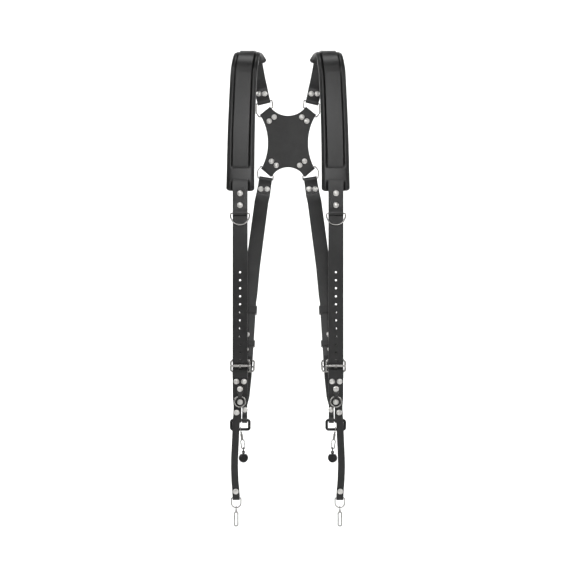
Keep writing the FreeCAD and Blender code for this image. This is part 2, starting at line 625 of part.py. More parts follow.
def build_clip(side):
    """The camera clip: shackle on the hip ring, swivelling hook with a gate, link and camera screw."""
    bar = side.at(100.8, HEEL_Y, HIP_BAR_Z - size("hip_ring_drop"))
    lean = Placement(bar, Rotation(Vector(0, 1, 0), side.sign * CLIP_LEAN))
    pin, head, bore_gap = 1.2, 1.8, 0.08
    eye_minor, eye_major = 1.2, 4.9
    shackle = Part.makeTorus(eye_major, eye_minor, Vector(0, 0, 0), Vector(1, 0, 0))
    shackle = shackle.fuse([Part.makeCylinder(1.9, 3.4, Vector(0, 0, -9.0)),
                            Part.makeCylinder(pin, 5.5, Vector(0, 0, -13.6)),
                            Part.makeCylinder(head, 1.4, Vector(0, 0, -15.0))])
    solid_node(side.node("clip_shackle"), shackle.removeSplitter(), lean)
    barrel = Part.makeCylinder(2.7, 12.4, Vector(0, 0, -22.0))
    barrel = barrel.cut(Part.makeCylinder(pin + bore_gap, 5.0, Vector(0, 0, -14.0)))
    barrel = barrel.cut(Part.makeCylinder(head + 0.1, 1.9, Vector(0, 0, -15.3)))
    body, gate = hook_loop(3.6, 19.0, 1.2, 6.5)
    for piece in (body, gate):
        if side.sign > 0:
            piece.rotate(Vector(0, 0, 0), Vector(0, 0, 1), 180)
        piece.translate(Vector(0, 0, -22.6))
    solid_node(side.node("clip_hook"), barrel.fuse(body).removeSplitter(), lean)
    solid_node(side.node("clip_gate"), gate, lean.multiply(gate.Placement))

    hook_low = lean.multVec(Vector(0, 0, -41.6))
    wire = 1.2
    top = hook_low + Vector(0, 0, 2 * wire + 0.3)
    link_half, link_drop = 3.4, 10.0
    corners = [top + Vector(0, -link_half, 0), top + Vector(0, link_half, 0),
               top + Vector(0, link_half, -link_drop), top + Vector(0, -link_half, -link_drop)]
    solid_node(side.node("clip_link"), bent_wire(corners, [2.4] * 4, wire))
    eye = top - Vector(0, 0, link_drop)
    ear_thick, ear_radius = 2.0, 3.6
    disc_y, radius = size("disc_thick"), size("disc_radius")
    disc = eye - Vector(0, 0, radius + 2.0)
    ear = Part.makeCylinder(ear_radius, ear_thick, eye - Vector(0, ear_thick / 2, 0), Vector(0, 1, 0))
    head_disc = Part.makeCylinder(radius, disc_y, disc - Vector(0, disc_y / 2, 0), Vector(0, 1, 0))
    head_disc = head_disc.makeFillet(0.8, [e for e in head_disc.Edges if isinstance(e.Curve, Part.Circle)])
    relief = Part.makeBox(10.0, 10.0, 8.0, eye + Vector(-5.0, -5.0, -4.2))
    head_disc = head_disc.cut(relief)
    bridge = Part.makeBox(5.0, ear_thick, 5.0, eye + Vector(-2.5, -ear_thick / 2, -6.0))
    stub_root = disc + Vector(0, disc_y / 2 - 0.5, 0)
    stub = Part.makeCylinder(size("screw_radius"), size("screw_length") + 0.5, stub_root, Vector(0, 1, 0))
    screw = head_disc.fuse([bridge, ear, stub])
    screw = screw.cut(Part.makeCylinder(wire + 0.35, 8.0, eye - Vector(0, 4.0, 0), Vector(0, 1, 0)))
    solid_node(side.node("camera_screw"), screw.removeSplitter())


# ---------------------------------------------------------------- rear run
def build_rear(side):
    """The rear strap from the plate ring to the rear buckle, its keepers and the billet from the hip ring."""
    frame = rear_frame(side)
    across = frame.across
    stations, away = ring_end(side, LOWER_WIRE, (0.156, 0.0, -0.988), 33.0)
    if stations[0][1].x * across.x < 0:
        stations = [(p, a * -1, w) for p, a, w in stations]
    middle = [(60.6, 76.6, -312.0), (69.6, 56.6, -386.0), (78.6, 36.2, -460.0), (83.8, 18.4, -522.0)]
    stations += [(side.at(*p), across, WIDE) for p in middle]
    main_w, fold_w = -BAR_BACK - STRAP / 2 - 0.02, -BAR_BACK + STRAP / 2 + 0.02
    turn_radius = FRAME_WIRE + GAP + STRAP / 2
    heel = frame.at(0, -BAR_BACK, HEEL_DROP)
    chape = [frame.at(0, main_w, 140.0), frame.at(0, main_w, 24.0),
             frame.at(0, -BAR_BACK - turn_radius + 0.1, HEEL_DROP + 4.0)]
    chape += turn(heel, frame.up * -1, frame.face * -1, turn_radius)
    chape += [frame.at(0, -BAR_BACK + turn_radius - 0.1, HEEL_DROP + 4.0), frame.at(0, fold_w, 24.0),
              frame.at(0, fold_w, 77.0)]
    stations += [(p, across, WIDE) for p in chape]
    strap = ribbon(stations, STRAP)
    slot = Part.makeBox(6.0, 14.0, 12.0, Vector(-3.0, -BAR_BACK - 7.0, HEEL_DROP - 7.0))
    slot.Placement = frame.placement().multiply(slot.Placement)
    strap = strap.cut(slot)
    leathers = {"strap": strap}
    for step in (-7.0, 7.0):
        seat = side.at(*LOWER_WIRE) + away * 23.0 + Vector(step, 0, 0)
        fasten(leathers, Vector(seat.x, RING_Y - STRAP - 0.02, seat.z), FRONT, 2 * STRAP + 0.04)
    for up in (35.7, 68.7):
        fasten(leathers, frame.at(0, main_w - STRAP / 2, up), frame.face * -1, 2 * STRAP + 0.04)
    solid_node(side.node("rear_strap"), leathers["strap"])

    tail_w = 5.0
    billet_points = [frame.at(0, tail_w, 150.0), frame.at(0, tail_w, 16.0), frame.at(0, tail_w, 11.5),
                     frame.at(0, tail_w - 0.4, 9.0), frame.at(0, 0.2, 3.8), frame.at(0, -1.8, 0.0),
                     frame.at(0, 1.2, -12.5), frame.at(0, 0.0, -23.0)]
    billet = [(p, across, WIDE) for p in billet_points]
    rivet_seat_z, low_out, low_width = -768.0, 92.4, 10.8
    billet += [(side.at(94.6, -43.5, -742.0), across, 24.0), (side.at(low_out, -50.0, -759.0), side.across, low_width),
               (side.at(low_out, -50.0, -776.0), side.across, low_width)]
    turn_radius = HIP_WIRE + GAP + BILLET / 2
    bar = side.at(low_out, HEEL_Y, HIP_BAR_Z)
    billet += [(p, side.across, low_width) for p in turn(bar, Vector(0, 0, -1), Vector(0, 1, 0), turn_radius)]
    billet += [(side.at(low_out, -61.6, -786.5), side.across, low_width),
               (side.at(low_out, -58.4, -781.4), side.across, low_width),
               (side.at(low_out, -53.05, -775.0), side.across, low_width),
               (side.at(low_out, -53.05, -760.5), side.across, low_width)]
    billet_shape = ribbon(billet, BILLET)
    tongue_hole = frame.at(0, 3.0, 7.1)
    billet_shape = hole(billet_shape, tongue_hole, frame.face * 0.73 - frame.up * 0.68, 3.0, 5.0)
    for index in range(5):
        place = frame.at(0, tail_w, 24.0 + (index + 1) * size("hole_pitch"))
        billet_shape = hole(billet_shape, place, frame.face, size("hole_radius"), 4.0)
    lower = {"billet": billet_shape}
    fasten(lower, side.at(low_out - 0.6, -53.05 - BILLET / 2, rivet_seat_z), FRONT, 6.05)
    solid_node(side.node("rear_billet"), lower["billet"])

    keeper_wall, play = 2.4, 0.5
    low_w, high_w = main_w - STRAP / 2 - play, tail_w + BILLET / 2 + play
    for base, up, length in (("fixed_keeper", 50.5, 13.0), ("sliding_keeper", 126.3, 17.0)):
        inner_wide = WIDE + 2 * play
        outer = Part.makeBox(inner_wide + 2 * keeper_wall, high_w - low_w + 2 * keeper_wall, length,
                             Vector(-inner_wide / 2 - keeper_wall, low_w - keeper_wall, up - length / 2))
        upright = [e for e in outer.Edges if abs(e.tangentAt(e.FirstParameter).z) > 0.9]
        outer = outer.makeFillet(1.6, upright)
        inner = Part.makeBox(inner_wide, high_w - low_w, length + 2,
                             Vector(-inner_wide / 2, low_w, up - length / 2 - 1))
        solid_node(side.node(base), outer.cut(inner), frame.placement())
    buckle("rear_buckle", side, frame)


def check_all():
    """Stop on any object that failed, or any sub-part whose shape is empty or not valid."""
    for thing in DOC.Objects:
        if "Invalid" in thing.State or "Error" in thing.State:
            raise RuntimeError("failed object: " + thing.Label)
    for thing in SUB_PARTS:
        shape = thing.Shape
        if shape.isNull() or not shape.isValid() or not shape.Solids:
            raise RuntimeError("bad shape: " + thing.Label)
        if any(solid.Volume <= 0 for solid in shape.Solids):
            raise RuntimeError("inside-out shape: " + thing.Label)


def main():
    """Build every sub-part, check them and write one file for each node."""
    build_plate()
    for name in SIDES:
        side = Side(name)
        build_shoulder(side)
        buckle("front_buckle", side, front_frame(side))
        build_hip(side)
        build_clip(side)
        build_rear(side)
    solid_node("cap_rivets", Part.makeCompound(RIVETS))
    DOC.recompute()
    check_all()
    os.makedirs(NODE_FOLDER, exist_ok=True)
    for thing in SUB_PARTS:
        thing.Shape.exportStep(os.path.join(NODE_FOLDER, thing.Label + ".step"))
    print("wrote", len(SUB_PARTS), "nodes")


main()
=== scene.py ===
import json
import logging
import math
from dataclasses import dataclass, field
from enum import Enum
from typing import Any, Sequence, Union

import bmesh
import bpy
import numpy as np
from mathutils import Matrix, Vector


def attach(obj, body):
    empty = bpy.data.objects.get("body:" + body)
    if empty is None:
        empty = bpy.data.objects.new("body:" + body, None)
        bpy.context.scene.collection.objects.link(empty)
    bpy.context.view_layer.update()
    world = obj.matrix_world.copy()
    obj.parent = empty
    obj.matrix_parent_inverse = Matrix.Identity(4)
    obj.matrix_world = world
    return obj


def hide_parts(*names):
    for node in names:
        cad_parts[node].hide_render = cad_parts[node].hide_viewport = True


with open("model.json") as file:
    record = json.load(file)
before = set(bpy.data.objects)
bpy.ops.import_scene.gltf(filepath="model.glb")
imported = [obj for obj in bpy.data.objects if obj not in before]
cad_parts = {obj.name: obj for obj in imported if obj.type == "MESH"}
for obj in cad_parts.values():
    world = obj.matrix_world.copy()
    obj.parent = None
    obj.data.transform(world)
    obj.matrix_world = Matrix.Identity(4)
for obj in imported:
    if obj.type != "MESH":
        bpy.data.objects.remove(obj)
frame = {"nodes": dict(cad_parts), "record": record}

LOG = logging.getLogger("harness")
SIDES = {"left": -1.0, "right": 1.0}
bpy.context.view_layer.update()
WELD = 0.00002  # corners nearer than this are one corner, in metres


# ---------------------------------------------------------------- shader maths
class Signal:
    """A number that varies over a surface, as the output of a shader node."""

    def __init__(self, shader: "ShaderTree", socket: Any) -> None:
        """Wraps a socket.

        Args:
            shader: the tree that the socket is in.
            socket: an output socket that carries a number.
        """
        self.shader = shader
        self.socket = socket

    def _math(self, operation: str, *values: Any, clamp: bool = False) -> "Signal":
        """Adds a Math node.

        Args:
            operation: the Math node's operation.
            values: its inputs, as signals or numbers.
            clamp: whether the result stays from 0 to 1.

        Returns:
            The node's output.
        """
        settings = {"operation": operation, "use_clamp": clamp}
        node = self.shader.node("ShaderNodeMath", settings, dict(enumerate(values)))
        return Signal(self.shader, node.outputs[0])

    def __add__(self, other: Any) -> "Signal":
        """Sum."""
        return self._math("ADD", self, other)

    def __radd__(self, other: Any) -> "Signal":
        """Sum, reflected."""
        return self._math("ADD", other, self)

    def __sub__(self, other: Any) -> "Signal":
        """Difference."""
        return self._math("SUBTRACT", self, other)

    def __rsub__(self, other: Any) -> "Signal":
        """Difference, reflected."""
        return self._math("SUBTRACT", other, self)

    def __mul__(self, other: Any) -> "Signal":
        """Product."""
        return self._math("MULTIPLY", self, other)

    def __rmul__(self, other: Any) -> "Signal":
        """Product, reflected."""
        return self._math("MULTIPLY", other, self)

    def clamped(self) -> "Signal":
        """The number kept from 0 to 1."""
        return self._math("ADD", self, 0.0, clamp=True)

    def step(self, start: float, stop: float) -> "Signal":
        """A smooth rise from 0 to 1.

        Args:
            start: where it leaves 0.
            stop: where it reaches 1.

        Returns:
            The rise.
        """
        settings = {"interpolation_type": "SMOOTHSTEP"}
        node = self.shader.node("ShaderNodeMapRange", settings, {0: self, 1: start, 2: stop})
        return Signal(self.shader, node.outputs[0])


Value = Union[Signal, float, int, Sequence[float], Any]


class ShaderTree:
    """The nodes of one material, with its Principled shader and its object coordinates."""

    def __init__(self, name: str) -> None:
        """Makes an empty material.

        Args:
            name: the material's name.
        """
        self.material = bpy.data.materials.new(name)
        self.material.use_nodes = True
        self.tree = self.material.node_tree
        self.tree.nodes.clear()
        self.surface = self.tree.nodes.new("ShaderNodeBsdfPrincipled")
        output = self.tree.nodes.new("ShaderNodeOutputMaterial")
        self.tree.links.new(self.surface.outputs[0], output.inputs[0])
        self.place = self.tree.nodes.new("ShaderNodeTexCoord").outputs["Object"]

    def node(self, kind: str, settings: dict[str, Any], values: dict[Any, Value]) -> Any:
        """Adds a node.

        Args:
            kind: its type.
            settings: its own settings, set first.
            values: what its input sockets hold or are linked to.

        Returns:
            The node.
        """
        made = self.tree.nodes.new(kind)
        for key, setting in settings.items():
            setattr(made, key, setting)
        for key, value in values.items():
            self.join(value, made.inputs[key])
        return made

    def join(self, value: Value, socket: Any) -> None:
        """Links a value to a socket, or sets it there.

        Args:
            value: a signal, an output socket or a plain value.
            socket: the input that takes it.
        """
        if isinstance(value, Signal):
            self.tree.links.new(value.socket, socket)
        elif isinstance(value, bpy.types.NodeSocket):
            self.tree.links.new(value, socket)
        else:
            socket.default_value = value

    def noise(self, scale: float, detail: float = 2.0, rough: float = 0.5) -> Signal:
        """Even noise over the piece.

        Args:
            scale: features to the metre.
            detail: its octaves.
            rough: how strong the finer octaves are.

        Returns:
            The noise, from 0 to 1.
        """
        values = {"Vector": self.place, "Scale": scale, "Detail": detail, "Roughness": rough}
        return Signal(self, self.node("ShaderNodeTexNoise", {}, values).outputs[0])

    def cells(self, scale: float) -> Signal:
        """Distance to the nearest cell's middle, as the pebbles of a grain.

        Args:
            scale: cells to the metre.

        Returns:
            The distance.
        """
        values = {"Vector": self.place, "Scale": scale, "Randomness": 1.0}
        return Signal(self, self.node("ShaderNodeTexVoronoi", {}, values).outputs[0])

    def mix(self, share: Value, low: Sequence[float], high: Any) -> Any:
        """A colour between two.

        Args:
            share: how much of the second.
            low: the first colour.
            high: the second colour.

        Returns:
            The mixed colour's socket.
        """
        made = self.node("ShaderNodeMix", {"data_type": "RGBA"}, {0: share, 6: low, 7: high})
        return made.outputs[2]

    def bump(self, height: Signal, depth: float, strength: float) -> Any:
        """A normal with relief.

        Args:
            height: the relief, from 0 to 1.
            depth: its depth in metres.
            strength: how much of it shows.

        Returns:
            The normal's socket.
        """
        values = {"Height": height, "Distance": depth, "Strength": strength}
        return self.node("ShaderNodeBump", {}, values).outputs[0]

    def dress(self, **values: Value) -> None:
        """Sets the Principled shader's sockets, by names with underscores for spaces."""
        for key, value in values.items():
            self.join(value, self.surface.inputs[key.replace("_", " ")])


def grey(level: float, warm: float = 0.0) -> tuple[float, float, float, float]:
    """A grey, a little warm or cool.

    Args:
        level: its brightness.
        warm: how far it leans to red, as a share.

    Returns:
        The colour.
    """
    return (level * (1 + warm), level, level * (1 - warm), 1.0)


@dataclass(frozen=True)
class Leather:
    """Dyed leather with a fine grain, faint creases and patches that are more polished."""

    name: str
    dark: float = 0.004
    light: float = 0.011
    shine: float = 0.28
    matt: float = 0.42
    grain: float = 1500.0
    relief: float = 0.16
    coat: float = 0.12

    def make(self) -> Any:
        """The leather's material."""
        shader = ShaderTree(self.name)
        pebbles = shader.cells(self.grain)
        fibre = shader.noise(self.grain * 2.2, 3.0)
        patches = shader.noise(26.0, 4.0, 0.6)
        creases = shader.noise(190.0, 5.0, 0.7)
        share = (patches.step(0.3, 0.72) * 0.7 + creases.step(0.35, 0.75) * 0.3).clamped()
        height = (pebbles * 0.6 + fibre * 0.3 + creases * 0.5).clamped()
        shader.dress(
            Base_Color=shader.mix(share, grey(self.dark), grey(self.light, 0.02)),
            Roughness=(
                patches * (self.matt - self.shine) + self.shine + creases * 0.1 - 0.05
            ).clamped(),
            Normal=shader.bump(height, 0.0004, self.relief),
        )
        shader.dress(Specular_IOR_Level=0.4, Coat_Weight=self.coat, Coat_Roughness=0.3)
        return shader.material


@dataclass(frozen=True)
class CutEdgeAndPaintedHighlight:
    """The burnished cut edge of leather: smoother, with a trace of brown, and lighter than the grain side,
    partly its own tone and partly a painted highlight on the rounded edges.
    """

    name: str
    level: float = 0.016
    rough: float = 0.33

    def make(self) -> Any:
        """The edge's material."""
        shader = ShaderTree(self.name)
        fibres = shader.noise(900.0, 4.0, 0.7)
        shader.dress(
            # Painted highlight: this edge colour is lighter than the leather face, partly the edge's own
            # brownish tone, partly standing in for the light that the rounded edges catch.
            Base_Color=shader.mix(
                fibres.step(0.35, 0.8), grey(self.level * 0.5), grey(self.level * 1.8, 0.16)
            ),
            Roughness=fibres * 0.25 + self.rough,
            Normal=shader.bump(fibres, 0.0003, 0.15),
        )
        return shader.material


@dataclass(frozen=True)
class Metal:
    """Plated or painted metal with fine scratches, dull patches and rubbed high spots."""

    name: str
    colour: tuple[float, float, float, float]
    worn: tuple[float, float, float, float]
    metallic: float = 1.0
    shine: float = 0.16
    dull: float = 0.3
    wear: float = 0.25

    def make(self) -> Any:
        """The metal's material."""
        shader = ShaderTree(self.name)
        patches = shader.noise(120.0, 4.0, 0.6)
        scratches = shader.noise(1900.0, 2.0, 0.8)
        rubbed = (patches.step(0.52, 0.72) * self.wear).clamped()
        shader.dress(
            Base_Color=shader.mix(rubbed, self.colour, self.worn),
            Roughness=patches * (self.dull - self.shine) + self.shine + scratches * 0.06,
            Normal=shader.bump(scratches, 0.00005, 0.2),
        )
        shader.dress(Metallic=self.metallic)
        return shader.material


class Finish(Enum):
    """The finishes, by the record's material slot."""

    PAD = Leather(
        "pad_leather", dark=0.004, light=0.01, shine=0.27, matt=0.38, grain=1300.0, coat=0.15
    )
    PLATE = Leather(
        "plate_leather", dark=0.005, light=0.017, shine=0.42, matt=0.62, grain=900.0, relief=0.24
    )
    STRAP = Leather("strap_leather")
    TETHER = Leather("tether_leather", dark=0.011, light=0.022, shine=0.55, matt=0.72, coat=0.0)
    KEEPER = Leather("keeper_leather", shine=0.38, matt=0.5)
    # Rounded cut edges: their own brownish tone plus a painted highlight.
    EDGE_AND_HIGHLIGHT = CutEdgeAndPaintedHighlight("cut_edge_and_painted_highlight")
    NICKEL = Metal(
        "nickel", (0.3, 0.295, 0.285, 1), (0.12, 0.115, 0.105, 1), shine=0.16, dull=0.3, wear=0.7
    )
    RIVET = Metal(
        "rivet_nickel", (0.62, 0.61, 0.59, 1), (0.22, 0.2, 0.18, 1), shine=0.22, dull=0.34, wear=0.7
    )
    BLACK = Metal(
        "black_metal", grey(0.012), (0.22, 0.21, 0.2, 1),
        metallic=0.6, shine=0.22, dull=0.4, wear=0.35,
    )
    ANODISED = Metal(
        "black_anodised", grey(0.02), (0.3, 0.3, 0.3, 1),
        metallic=0.8, shine=0.3, dull=0.42, wear=0.25,
    )


SLOT_FINISH = {
    "pad_leather": Finish.PAD, "plate_leather": Finish.PLATE, "strap_leather": Finish.STRAP,
    "tether_leather": Finish.TETHER, "keeper_leather": Finish.KEEPER, "nickel": Finish.NICKEL,
    "rivet_nickel": Finish.RIVET, "black_metal": Finish.BLACK, "black_anodised": Finish.ANODISED,
}


class Paint:
    """Makes each finish once and hands it out."""

    _made: dict[Finish, Any] = {}

    @classmethod
    def of(cls, finish: Finish) -> Any:
        """The material of a finish."""
        if finish not in cls._made:
            cls._made[finish] = finish.value.make()
        return cls._made[finish]


# ---------------------------------------------------------------- mesh helpers
def body_of_node(node: str) -> str:
    """Finds the rigid body that a CAD node belongs to.

    Args:
        node: the node's name.

    Returns:
        The body's name.
    """
    for body, nodes in frame["record"]["behaviour"]["bodies"].items():
        if node in nodes:
            return body
    raise ValueError(node)


def slot_of_node(node: str) -> str:
    """The record's material slot of a CAD node."""
    subparts = frame["record"]["subparts"]
    return next(part["material_slot"] for part in subparts if part["node"] == node)


def new_piece(name: str, mesh: Any) -> Any:
    """A new object in the scene.

    Args:
        name: its name.
        mesh: its mesh.

    Returns:
        The object.
    """
    piece = bpy.data.objects.new(name, mesh)
    bpy.context.scene.collection.objects.link(piece)
    return piece


def settle(piece: Any) -> Any:
    """Turns a piece's live modifiers into plain mesh.

    Args:
        piece: the object.

    Returns:
        The same object, with no modifiers.
    """
    evaluated = piece.evaluated_get(bpy.context.evaluated_depsgraph_get())
    mesh = bpy.data.meshes.new_from_object(evaluated)
    piece.modifiers.clear()
    piece.data = mesh
    return piece


def smooth(mesh: Any, degrees: float) -> None:
    """Shades a mesh smooth, with sharp edges kept past an angle.

    Args:
        mesh: the mesh, changed in place.
        degrees: the angle.
    """
    for face in mesh.polygons:
        face.use_smooth = True
    mesh.set_sharp_from_angle(angle=math.radians(degrees))


def welded_copy(node: str) -> Any:
    """Copies a CAD node's mesh and joins its loose triangles at their corners.

    Args:
        node: the node's name.

    Returns:
        A new bmesh.
    """
    shape = bmesh.new()
    shape.from_mesh(frame["nodes"][node].data)
    bmesh.ops.remove_doubles(shape, verts=shape.verts, dist=WELD)
    return shape


def finish_mesh(shape: Any, name: str) -> Any:
    """Turns a bmesh into a mesh and frees it.

    Args:
        shape: the bmesh.
        name: the mesh's name.

    Returns:
        The mesh.
    """
    mesh = bpy.data.meshes.new(name)
    shape.to_mesh(mesh)
    shape.free()
    return mesh


# ---------------------------------------------------------------- leather
@dataclass
class CutLeather:
    """A piece cut from leather: its edges are rounded and burnished, and coloured lighter, partly as a
    painted highlight.
    """

    node: str
    edge_round: float = 0.0007
    steps: int = 3
    flat_within: float = 1.0
    edge_angle: float = 50.0

    def build(self) -> Any:
        """Makes the piece and hides its CAD solid.

        Returns:
            The piece.
        """
        shape = welded_copy(self.node)
        bmesh.ops.dissolve_limit(
            shape, angle_limit=math.radians(self.flat_within), verts=shape.verts, edges=shape.edges
        )
        mesh = finish_mesh(shape, self.node + "_leather")
        piece = new_piece(self.node + "_leather", mesh)
        slot = slot_of_node(self.node)
        mesh.materials.clear()
        mesh.materials.append(Paint.of(SLOT_FINISH[slot]))
        # Second slot, for the rounded edges: the cut edge's tone with a painted highlight.
        mesh.materials.append(Paint.of(Finish.EDGE_AND_HIGHLIGHT))
        for face in mesh.polygons:
            face.material_index = 0
        smooth(mesh, 40)
        rounding = piece.modifiers.new("rounding", "BEVEL")
        rounding.width = self.edge_round
        rounding.segments = self.steps
        rounding.limit_method = "ANGLE"
        rounding.angle_limit = math.radians(self.edge_angle)
        # The rounded edges take the second slot, whose lighter colour is partly a painted highlight.
        rounding.material = 1
        even = piece.modifiers.new("even", "WEIGHTED_NORMAL")
        even.keep_sharp = True
        settle(piece)
        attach(piece, body_of_node(self.node))
        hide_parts(self.node)
        LOG.info("%s: %d faces", piece.name, len(piece.data.polygons))
        return piece


@dataclass
class ShoulderPad:
    """A padded shoulder: leather over foam, crowned, with a sewn channel near each long edge.

    Lengths are in metres. The arch over the shoulder turns through 135 degrees of a circle, whose
    middle lies saddle_drop below the origin. The strap rests in a shallow bed, except between
    bridge_low and bridge_high, where the pad's band covers it.
    """

    side: str
    radius: float = 0.0539
    half_thick: float = 0.0036
    saddle_drop: float = 0.0479
    rows: int = 120
    columns: int = 32
    swell: float = 0.0007
    bed_half: float = 0.0185
    bed_depth: float = 0.0022
    bed_slope: float = 0.003
    bridge_low: float = -0.2795
    bridge_high: float = -0.2505
    arch_row: int = 30
    corner: float = 0.0065
    row_step: float = 0.0039
    channel_at: float = 0.86
    channel_wide: float = 0.035
    channel_deep: float = 0.28
    foam_steps: int = 12

    def centre_line(self) -> list[tuple[Vector, float]]:
        """Lays the middle line from the lower front end over the shoulder to the rear end.

        Returns:
            The middle points and the pad's width at each.
        """
        down = [
            (0.102, -0.3012, 0.062),
            (0.101, -0.230, 0.062),
            (0.0994, -0.160, 0.061),
            (0.0968, -0.095, 0.060),
        ]
        outs = [0.0945, 0.0928, 0.0912, 0.0896, 0.0882, 0.0868, 0.0848, 0.0818, 0.0776, 0.0724]
        line = [(Vector((out, -self.radius, z)), width) for out, z, width in down]
        for index, out in enumerate(outs):
            angle = math.radians(180 - 15 * index)
            ahead = self.radius * math.cos(angle)
            height = -self.saddle_drop + self.radius * math.sin(angle)
            line.append((Vector((out, ahead, height)), 0.059 - 0.0002 * index))
        return line

    def sample(self, share: float) -> tuple[Vector, Vector, float]:
        """A point on the centre line.

        Args:
            share: how far along, from 0 to 1.

        Returns:
            The point, the way along and the width there.
        """
        line = self.centre_line()
        spans = [(b[0] - a[0]).length for a, b in zip(line, line[1:])]
        want = share * sum(spans)
        index = 0
        while index < len(spans) - 1 and want > spans[index]:
            want -= spans[index]
            index += 1
        near = [line[max(0, min(len(line) - 1, index + step))] for step in (-1, 0, 1, 2)]
        t = min(1.0, want / spans[index])
        points = [item[0] for item in near]
        slope_a, slope_b = (points[2] - points[0]) / 2, (points[3] - points[1]) / 2
        if index == 0:
            slope_a = points[2] - points[1]
        if index == len(spans) - 1:
            slope_b = points[2] - points[1]
        ends = (points[1], slope_a, points[2], slope_b)
        hermite = (2 * t**3 - 3 * t**2 + 1, t**3 - 2 * t**2 + t, -2 * t**3 + 3 * t**2, t**3 - t**2)
        slopes = (6 * t**2 - 6 * t, 3 * t**2 - 4 * t + 1, -6 * t**2 + 6 * t, 3 * t**2 - 2 * t)
        place = sum((share * end for share, end in zip(hermite, ends)), Vector())
        along = sum((share * end for share, end in zip(slopes, ends)), Vector())
        width = near[1][1] + (near[2][1] - near[1][1]) * t
        return place, along.normalized(), width

    def in_bed(self, out: float, place: Vector, row: int) -> float:
        """How far a spot lies in the hollow that the strap rests in.

        Args:
            out: its distance from the pad's middle line.
            place: the middle line there.
            row: its row from the lower front end.

        Returns:
            From 0, outside, to 1, on the hollow's bed.
        """
        across = min(1.0, max(0.0, (self.bed_half + 0.002 - out) / self.bed_slope))
        if row > self.rows * 0.5:
            return across
        above = min(1.0, max(0.0, (place.z - self.bridge_high) / self.bed_slope))
        below = min(1.0, max(0.0, (self.bridge_low - place.z) / self.bed_slope))
        return across * max(above, below)

    def puffed(self, edge: float) -> float:
        """How full the pad is across its width, as a share of half its thickness.

        Args:
            edge: the distance from the middle line, 1 at the pad's edge.

        Returns:
            The share, with the sewn channel taken out.
        """
        if edge < self.channel_at:
            crown = (1 - edge**4) * 0.35 + 0.65
        else:
            crown = 0.65 - 0.45 * ((edge - self.channel_at) / (1 - self.channel_at)) ** 2
        channel = math.exp(-(((edge - self.channel_at) / self.channel_wide) ** 2))
        return crown - self.channel_deep * channel

    def ring(self, shape: Any, row: int) -> list[Any]:
        """Adds one ring of corners round the pad, over its upper face and back under it.

        Args:
            shape: the bmesh that takes them.
            row: which ring, from the lower front end.

        Returns:
            The ring's corners.
        """
        sign = SIDES[self.side]
        share = row / self.rows
        place, along, width = self.sample(share)
        place.x *= sign
        along.x *= sign
        across = Vector((1, 0, 0))
        across = (across - along * across.dot(along)).normalized()
        outward = across.cross(along) * -1
        lift = place.z + self.saddle_drop if row > self.arch_row else 0
        if outward.dot(Vector((0, place.y, lift))) < 0:
            outward = outward * -1
        ends = min(share, 1 - share) * self.rows
        left = max(0.0, self.corner - ends * self.row_step)
        cut = self.corner - math.sqrt(max(0.0, self.corner**2 - left**2))
        round_in = 1 - cut / (width / 2)
        fullness = min(1.0, 0.45 + 0.55 * min(1.0, ends / 3.0))
        ring = []
        for face in (1, -1):
            for column in range(self.columns + 1):
                if face < 0 and column in (0, self.columns):
                    continue
                u = (column / self.columns * 2 - 1) * face
                edge = abs(u)
                height = self.half_thick * fullness * self.puffed(edge) * face
                if face > 0:
                    height -= self.bed_depth * self.in_bed(edge * width / 2, place, row)
                if edge >= 0.999:
                    height = 0.0
                out = across * (u * width / 2 * round_in)
                ring.append(shape.verts.new(place + out + outward * height))
        return ring

    def shell(self) -> Any:
        """Builds the closed shell, thin at its edges and full between the sewn channels.

        Returns:
            The shell's mesh.
        """
        shape = bmesh.new()
        rings = [self.ring(shape, row) for row in range(self.rows + 1)]
        count = len(rings[0])
        for lower, upper in zip(rings, rings[1:]):
            for index in range(count):
                after = (index + 1) % count
                shape.faces.new((lower[index], lower[after], upper[after], upper[index]))
        for ring, flip in ((rings[0], False), (rings[-1], True)):
            top = ring[: self.columns + 1]
            low = [ring[0]] + ring[: self.columns : -1] + [ring[self.columns]]
            for index in range(self.columns):
                corners = [top[index], top[index + 1], low[index + 1], low[index]]
                corners = [v for position, v in enumerate(corners) if v not in corners[:position]]
                if len(corners) > 2:
                    shape.faces.new(corners if flip else corners[::-1])
        bmesh.ops.recalc_face_normals(shape, faces=shape.faces)
        return finish_mesh(shape, "pad")

    def puff(self, piece: Any) -> None:
        """Fills the shell with foam: a short pressure simulation whose movement is capped.

        Args:
            piece: the pad, changed in place.
        """
        start = np.array([vertex.co[:] for vertex in piece.data.vertices])
        cloth = piece.modifiers.new("foam", "CLOTH")
        cloth.settings.use_pressure = True
        cloth.settings.uniform_pressure_force = 4.0
        cloth.settings.effector_weights.gravity = 0.0
        cloth.settings.tension_stiffness = 60.0
        cloth.settings.bending_stiffness = 4.0
        cloth.settings.quality = 4
        for number in range(1, self.foam_steps + 1):
            bpy.context.scene.frame_set(number)
        evaluated = piece.evaluated_get(bpy.context.evaluated_depsgraph_get())
        moved = np.array([vertex.co[:] for vertex in evaluated.data.vertices]) - start
        piece.modifiers.clear()
        bpy.context.scene.frame_set(1)
        length = np.linalg.norm(moved, axis=1, keepdims=True)
        moved *= np.minimum(1.0, self.swell / np.maximum(length, 1e-9))
        for vertex, place in zip(piece.data.vertices, start + moved):
            vertex.co = place

